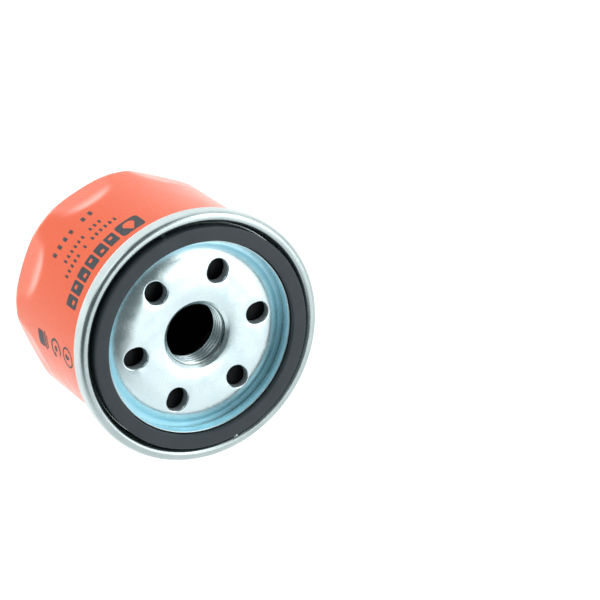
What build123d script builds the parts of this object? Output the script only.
from build123d import *
from math import cos, radians, sin
import os

# Spin-on oil filter. Millimetres. The dome stands on z = 0, the sealing side is up,
# and +Z is the axis of the engine stud. "Depth" is measured down from the gasket's face.

# Overall
HEIGHT = 62.5
CAN_RADIUS = 37.5
CAN_SHEET = 0.6
SEAM_RADIUS = 40.0
SEAM_TOP_DEPTH = 1.3
SEAM_BOTTOM_DEPTH = 6.45
NECK_STEP = 0.55
HOOK_STEP = 1.2
HOOK_TOP_DEPTH = 2.25
HOOK_END_DEPTH = 5.3
NECK_LOW_DEPTH = 7.8
NECK_HIGH_DEPTH = 6.8
WALL_TOP = HEIGHT - 8.6

# Dome and its wrench flats
FOOT_RADIUS = 17.2
FOOT_STEP = 0.45
DOME_RISE = 3.4
SHOULDER_RADIUS = 5.5
FLAT_COUNT = 8
FLAT_TOP_DISTANCE = 35.2
FLAT_LOW_DISTANCE = 36.5
FLAT_BREAK_HEIGHT = 16.2
FLAT_END_HEIGHT = 20.7

# Gasket and its groove in the seaming lid
GASKET_INNER_RADIUS = 31.0
GASKET_OUTER_RADIUS = 35.5
GASKET_THICKNESS = 5.4
LID_SHEET = 0.5
LIP_DEPTH = 2.0
LIP_RADIUS = 30.3
GROOVE_LOW_RADIUS = 36.3
GROOVE_TOP_RADIUS = 36.85
COVER_HOOK_RADIUS = 38.35
COVER_HOOK_DEPTH = 3.6
NIB_COUNT = 2
NIB_START = 38.5
NIB_RADIUS = 36.4
NIB_DEPTH = 1.9
NIB_TILT = 12

# Base plate
PLATE_DEPTH = 3.5
PLATE_THICKNESS = 3.0
PLATE_RADIUS = 36.4
BOSS_RADIUS = 25.4
BOSS_END_RADIUS = 29.4
INLET_COUNT = 6
INLET_CIRCLE_RADIUS = 20.9
INLET_WIDTH = 6.8
INLET_LENGTH = 7.7

# Thread M20 x 1.5, bored to its major diameter
THREAD_RADIUS = 10.0
THREAD_CHAMFER = 0.6
COLLAR_RADIUS = 12.4
COLLAR_END_DEPTH = 13.4

# Anti-drain-back valve
VALVE_COLLAR_RADIUS = 15.0
VALVE_LIP_INNER_RADIUS = 25.3
VALVE_LIP_OUTER_RADIUS = 26.5
VALVE_LIP_DROP = 2.0
SKIRT_FOOT_DROP = 3.6
SKIRT_THICKNESS = 0.8

# Filter element
ELEMENT_TOP_DEPTH = 14.4
ELEMENT_BOTTOM_HEIGHT = 10.0
CAP_SHEET = 0.5
CAP_RADIUS = 34.0
CAP_SKIRT = 3.6
CAP_NECK_RADIUS = 12.7
POTTING_THICKNESS = 1.6
TUBE_INNER_RADIUS = 13.5
TUBE_OUTER_RADIUS = 14.0
TUBE_HOLE_RADIUS = 1.6
TUBE_HOLE_COLUMNS = 8
TUBE_HOLE_ROWS = 4
PLEAT_COUNT = 48
PLEAT_INNER_RADIUS = 14.6
PLEAT_OUTER_RADIUS = 32.4
PAPER_THICKNESS = 0.6
SEAM_HALF_ANGLE = 1.1
CLIP_SHEET = 0.3
CLIP_LENGTH = 6.0

# Bypass valve in the lower end cap
BYPASS_PORT_RADIUS = 7.4
BYPASS_SEAT_THICKNESS = 1.2
BYPASS_DISC_RADIUS = 10.0
BYPASS_DISC_THICKNESS = 0.8
BYPASS_STEM_RADIUS = 1.2
BYPASS_SPRING_RADIUS = 6.4
BYPASS_WIRE = 0.9
BYPASS_TURNS = 4
CAGE_RADIUS = 12.6
CAGE_HEIGHT = 11.0
CAGE_SHEET = 0.5
CAGE_WINDOWS = 3

# Leaf spring under the element
LEAF_SHEET = 0.7
LEAF_WIDTH = 9.0
LEAF_RING_RADIUS = 14.0
LEAF_PORT_RADIUS = 8.0
LEAF_FOOT_RADIUS = 29.0

CLEARANCE = 0.05


def depth(value):
    """Height of a level that lies `value` below the gasket's face."""
    return HEIGHT - value


def turned(*points, radius=0.0):
    """Solid of revolution of a closed outline of (radius, height) points."""
    outline = FilletPolyline(*[(r, 0, z) for r, z in points], radius=radius, close=True)
    return revolve(make_face(outline), Axis.Z)


def turned_sheet(points, bends, sheet):
    """Solid of revolution of a bent sheet, from its centre line of (radius, height) points."""
    line = FilletPolyline(*[(r, z) for r, z in points], radius=bends)
    section = make_face(line.offset_2d(sheet / 2, Kind.ARC, Side.BOTH, closed=True))
    return revolve(Plane.XZ * section, Axis.Z)


def ring(inner, outer, low, high):
    """Plain ring between two heights."""
    return turned((inner, low), (outer, low), (outer, high), (inner, high))


def around(shape, count, start=0.0):
    """Copies of a shape, evenly spaced about Z."""
    return [Rot(0, 0, start + 360 / count * k) * shape for k in range(count)]


def dome_body(inset):
    """Closed body of the can's dome and wall, `inset` inside the outer surface."""
    wall = CAN_RADIUS - inset
    shoulder = SHOULDER_RADIUS - inset
    body = turned(
        (0, inset),
        (FOOT_RADIUS - inset * 0.5, inset),
        (FOOT_RADIUS + 1.0 - inset * 0.5, FOOT_STEP + inset),
        (wall, DOME_RISE + inset),
        (wall, WALL_TOP),
        (0, WALL_TOP),
        radius=[0, 0.6, 0.6, shoulder, 0, 0],
    )
    # Each flat leans in towards the dome and ends in a short ramp.
    flat = Polyline(
        (FLAT_TOP_DISTANCE - inset, 0, 0),
        (FLAT_LOW_DISTANCE - inset, 0, FLAT_BREAK_HEIGHT),
        (CAN_RADIUS - inset, 0, FLAT_END_HEIGHT),
        (CAN_RADIUS + 5, 0, FLAT_END_HEIGHT),
        (CAN_RADIUS + 5, 0, 0),
        close=True,
    )
    cutter = extrude(make_face(flat), amount=16, both=True)
    return body - around(cutter, FLAT_COUNT)


def make_can():
    """Deep-drawn can, with its rim hooked for the double seam."""
    wall = CAN_RADIUS - CAN_SHEET / 2
    neck = wall + NECK_STEP
    hook = neck + HOOK_STEP
    seam_edge = turned_sheet(
        [
            (wall, WALL_TOP - 0.4),
            (wall, depth(NECK_LOW_DEPTH)),
            (neck, depth(NECK_HIGH_DEPTH)),
            (neck, depth(HOOK_TOP_DEPTH)),
            (hook, depth(HOOK_TOP_DEPTH)),
            (hook, depth(HOOK_END_DEPTH)),
        ],
        [0.6, 0.6, 0.59, 0.59],
        CAN_SHEET,
    )
    shell = dome_body(0) - dome_body(CAN_SHEET)
    mouth = Pos(0, 0, WALL_TOP) * Cylinder(CAN_RADIUS - CAN_SHEET, 2)
    return shell - mouth + seam_edge


def make_lid():
    """Thin lid: inner lip, gasket groove, and the rim rolled round the can's edge."""
    half = LID_SHEET / 2
    lip = LIP_RADIUS + half
    floor = depth(GASKET_THICKNESS + half)
    crown = depth(SEAM_TOP_DEPTH + half)
    skirt = SEAM_RADIUS - half
    hem = depth(SEAM_BOTTOM_DEPTH - half)
    lid = turned_sheet(
        [
            (lip, depth(LIP_DEPTH + half)),
            (lip, floor),
            (GROOVE_LOW_RADIUS, floor),
            (GROOVE_TOP_RADIUS, crown),
            (skirt, crown),
            (skirt, hem),
            (COVER_HOOK_RADIUS, hem),
            (COVER_HOOK_RADIUS, depth(COVER_HOOK_DEPTH)),
        ],
        [0.7, 0.7, 1.2, 1.3, 0.69, 0.69],
        LID_SHEET,
    )
    nib = Pos(NIB_RADIUS, 0, depth(NIB_DEPTH)) * Rot(0, NIB_TILT, 0) * Box(0.9, 1.2, 0.5)
    nib = fillet(nib.edges(), 0.12)
    return lid + around(nib, NIB_COUNT, NIB_START)


def make_gasket():
    """Flat sealing ring."""
    return turned(
        (GASKET_INNER_RADIUS, depth(GASKET_THICKNESS)),
        (GASKET_OUTER_RADIUS, depth(GASKET_THICKNESS)),
        (GASKET_OUTER_RADIUS, HEIGHT),
        (GASKET_INNER_RADIUS, HEIGHT),
        radius=0.3,
    )


def make_seam_compound():
    """Sealing compound between the can's hook and the lid's skirt."""
    return ring(39.28, 39.47, depth(5.0), depth(2.8))


def make_base_plate():
    """Thick plate with a raised middle, six inlets and the threaded collar."""
    flange = GASKET_THICKNESS + LID_SHEET
    under = PLATE_DEPTH + PLATE_THICKNESS
    plate = turned(
        (THREAD_RADIUS, depth(PLATE_DEPTH)),
        (BOSS_RADIUS, depth(PLATE_DEPTH)),
        (BOSS_END_RADIUS, depth(flange)),
        (PLATE_RADIUS, depth(flange)),
        (PLATE_RADIUS, depth(flange + PLATE_THICKNESS)),
        (BOSS_END_RADIUS + 1, depth(flange + PLATE_THICKNESS)),
        (BOSS_RADIUS + 1, depth(under)),
        (COLLAR_RADIUS, depth(under)),
        (COLLAR_RADIUS, depth(COLLAR_END_DEPTH)),
        (THREAD_RADIUS, depth(COLLAR_END_DEPTH)),
        radius=[0, 1.5, 1.5, 0.3, 0.3, 2.0, 2.0, 0, 0.4, 0],
    )
    chamfer_edge = plate.edges().filter_by(GeomType.CIRCLE).group_by(Axis.Z)[-1].sort_by(SortBy.RADIUS)[0]
    plate = chamfer(chamfer_edge, THREAD_CHAMFER)
    slot = Pos(INLET_CIRCLE_RADIUS, 0, depth(under + 1)) * SlotOverall(INLET_LENGTH, INLET_WIDTH)
    return plate - around(extrude(slot, amount=PLATE_THICKNESS + 2), INLET_COUNT)


def make_check_valve():
    """Rubber collar, conical skirt and sealing lip of the anti-drain-back valve."""
    under = PLATE_DEPTH + PLATE_THICKNESS
    collar = turned(
        (COLLAR_RADIUS, depth(ELEMENT_TOP_DEPTH)),
        (VALVE_COLLAR_RADIUS, depth(ELEMENT_TOP_DEPTH)),
        (VALVE_COLLAR_RADIUS, depth(under)),
        (COLLAR_RADIUS, depth(under)),
    )
    lip_low = depth(under + VALVE_LIP_DROP)
    skirt_foot = depth(under + SKIRT_FOOT_DROP)
    skirt = turned(
        (VALVE_COLLAR_RADIUS, skirt_foot),
        (VALVE_LIP_INNER_RADIUS, lip_low),
        (VALVE_LIP_INNER_RADIUS, lip_low + SKIRT_THICKNESS),
        (VALVE_COLLAR_RADIUS, skirt_foot + SKIRT_THICKNESS),
    )
    lip = turned(
        (VALVE_LIP_INNER_RADIUS, lip_low),
        (VALVE_LIP_OUTER_RADIUS, lip_low),
        (VALVE_LIP_OUTER_RADIUS, depth(under) - CLEARANCE),
        (VALVE_LIP_INNER_RADIUS, depth(under) - CLEARANCE),
        radius=[0, 0.3, 0.3, 0],
    )
    return collar, skirt, lip


def make_end_caps():
    """Pressed caps that close the paper pack at both ends."""
    half = CAP_SHEET / 2
    upper_face = depth(ELEMENT_TOP_DEPTH) - half
    neck = CAP_NECK_RADIUS + half
    edge = CAP_RADIUS - half
    upper = turned_sheet(
        [(neck, upper_face - 4.5), (neck, upper_face), (edge, upper_face), (edge, upper_face - CAP_SKIRT)],
        [0.6, 0.8],
        CAP_SHEET,
    )
    lower_face = ELEMENT_BOTTOM_HEIGHT + half
    lower = turned_sheet(
        [(BYPASS_PORT_RADIUS + half, lower_face), (edge, lower_face), (edge, lower_face + CAP_SKIRT)],
        [0.8],
        CAP_SHEET,
    )
    return upper, lower


def element_span():
    """Heights of the faces that the centre tube and the potting stand between."""
    return ELEMENT_BOTTOM_HEIGHT + CAP_SHEET, depth(ELEMENT_TOP_DEPTH) - CAP_SHEET


def make_centre_tube():
    """Perforated tube that carries the paper pack from inside."""
    low, high = element_span()
    tube = ring(TUBE_INNER_RADIUS, TUBE_OUTER_RADIUS, low, high)
    pitch = (high - low) / (TUBE_HOLE_ROWS + 1)
    holes = []
    for row in range(TUBE_HOLE_ROWS):
        punch = Cylinder(TUBE_HOLE_RADIUS, 20, align=(Align.CENTER, Align.CENTER, Align.MIN))
        hole = Pos(0, 0, low + pitch * (row + 1)) * Rot(0, 90, 0) * punch
        holes += around(hole, TUBE_HOLE_COLUMNS, 180 / TUBE_HOLE_COLUMNS * (row % 2))
    return tube - holes


def make_potting():
    """Adhesive that fixes the paper in each cap."""
    low, high = element_span()
    outer = CAP_RADIUS - CAP_SHEET - 0.5
    lower = ring(TUBE_OUTER_RADIUS, outer, low, low + POTTING_THICKNESS)
    upper = ring(TUBE_OUTER_RADIUS, outer, high - POTTING_THICKNESS, high)
    return upper, lower


def polar(radius, angle):
    """Point in the XY plane from a radius and an angle in degrees."""
    return radius * cos(radians(angle)), radius * sin(radians(angle))


def make_paper():
    """Pleated paper, with its two ends side by side under the clip."""
    low, high = element_span()
    step = 360 / PLEAT_COUNT
    points = [polar(PLEAT_OUTER_RADIUS, SEAM_HALF_ANGLE)]
    for k in range(PLEAT_COUNT):
        points.append(polar(PLEAT_INNER_RADIUS, (k + 0.5) * step))
        points.append(polar(PLEAT_OUTER_RADIUS, (k + 1) * step))
    points[-1] = polar(PLEAT_OUTER_RADIUS, 360 - SEAM_HALF_ANGLE)
    line = Polyline(*points)
    face = make_face(line.offset_2d(PAPER_THICKNESS / 2, Kind.ARC, Side.BOTH, closed=True))
    return extrude(Pos(0, 0, low + POTTING_THICKNESS) * face, amount=high - low - 2 * POTTING_THICKNESS)


def make_pleat_clip():
    """Channel clip over the two free ends of the paper."""
    low, high = element_span()
    reach = PLEAT_OUTER_RADIUS + PAPER_THICKNESS / 2 + CLEARANCE
    side = 1.25
    back = reach + CLIP_SHEET / 2
    front = reach - CLIP_LENGTH
    outline = Polyline((front, side), (back, side), (back, -side), (front, -side))
    face = make_face(outline.offset_2d(CLIP_SHEET / 2, Kind.ARC, Side.BOTH, closed=True))
    return extrude(Pos(0, 0, low + POTTING_THICKNESS) * face, amount=high - low - 2 * POTTING_THICKNESS)


def make_bypass():
    """Seat, disc, stem, spring and cage of the bypass valve."""
    seat_low = ELEMENT_BOTTOM_HEIGHT + CAP_SHEET
    disc_low = seat_low + BYPASS_SEAT_THICKNESS
    disc_high = disc_low + BYPASS_DISC_THICKNESS
    cage_high = seat_low + CAGE_HEIGHT
    seat = ring(BYPASS_PORT_RADIUS, BYPASS_DISC_RADIUS + 0.6, seat_low, disc_low)
    disc = ring(BYPASS_STEM_RADIUS, BYPASS_DISC_RADIUS, disc_low, disc_high)
    stem = turned(
        (0, disc_low - 0.8),
        (BYPASS_STEM_RADIUS + 0.8, disc_low - 0.8),
        (BYPASS_STEM_RADIUS + 0.8, disc_low),
        (BYPASS_STEM_RADIUS, disc_low),
        (BYPASS_STEM_RADIUS, cage_high + 3),
        (0, cage_high + 3),
    )
    cage = turned_sheet(
        [
            (BYPASS_STEM_RADIUS + 0.3 + CAGE_SHEET, cage_high - CAGE_SHEET / 2),
            (CAGE_RADIUS - CAGE_SHEET / 2, cage_high - CAGE_SHEET / 2),
            (CAGE_RADIUS - CAGE_SHEET / 2, seat_low + CAGE_SHEET / 2),
        ],
        [1.5],
        CAGE_SHEET,
    )
    window = Pos(0, 0, seat_low + 5.4) * Box(30, 13, 6, align=(Align.MIN, Align.CENTER, Align.CENTER))
    cage -= around(window, CAGE_WINDOWS, 60)
    wire_low = disc_high + BYPASS_WIRE / 2 + CLEARANCE
    wire_high = cage_high - CAGE_SHEET - BYPASS_WIRE / 2 - CLEARANCE
    rise = wire_high - wire_low
    coil = Pos(0, 0, wire_low) * Helix(rise / BYPASS_TURNS, rise, BYPASS_SPRING_RADIUS)
    wire = Plane(coil @ 0, z_dir=coil % 0) * Circle(BYPASS_WIRE / 2)
    spring = sweep(wire, path=coil, is_frenet=True)
    return seat, disc, stem, spring, cage


def make_element_spring():
    """Leaf spring: a ring against the element and four legs down to the dome."""
    half = LEAF_SHEET / 2
    ring_height = ELEMENT_BOTTOM_HEIGHT - half
    foot_height = DOME_RISE + 1.2
    leg_line = FilletPolyline(
        (LEAF_PORT_RADIUS, ring_height),
        (LEAF_RING_RADIUS + 2, ring_height),
        (LEAF_FOOT_RADIUS - 2, foot_height),
        (LEAF_FOOT_RADIUS + 1.5, foot_height + 0.6),
        radius=[4, 2],
    )
    section = make_face(leg_line.offset_2d(half, Kind.ARC, Side.BOTH, closed=True))
    leg = extrude(Plane.XZ * section, amount=LEAF_WIDTH / 2, both=True)
    leaf = ring(LEAF_PORT_RADIUS, LEAF_RING_RADIUS, ring_height - half, ring_height + half)
    leaf += around(leg, 4)
    return leaf - Cylinder(LEAF_PORT_RADIUS, 40)


def main():
    os.makedirs("parts", exist_ok=True)
    collar, skirt, lip = make_check_valve()
    upper_cap, lower_cap = make_end_caps()
    upper_potting, lower_potting = make_potting()
    seat, disc, stem, spring, cage = make_bypass()
    nodes = {
        "can": make_can(),
        "seaming_lid": make_lid(),
        "seam_compound": make_seam_compound(),
        "base_plate": make_base_plate(),
        "gasket": make_gasket(),
        "check_valve_collar": collar,
        "check_valve_skirt": skirt,
        "check_valve_lip": lip,
        "upper_end_cap": upper_cap,
        "upper_potting": upper_potting,
        "pleated_paper": make_paper(),
        "pleat_clip": make_pleat_clip(),
        "centre_tube": make_centre_tube(),
        "lower_potting": lower_potting,
        "lower_end_cap": lower_cap,
        "bypass_seat": seat,
        "bypass_disc": disc,
        "bypass_stem": stem,
        "bypass_spring": spring,
        "bypass_cage": cage,
        "element_spring": make_element_spring(),
    }
    for name, shape in nodes.items():
        export_step(shape, f"parts/{name}.step")


main()
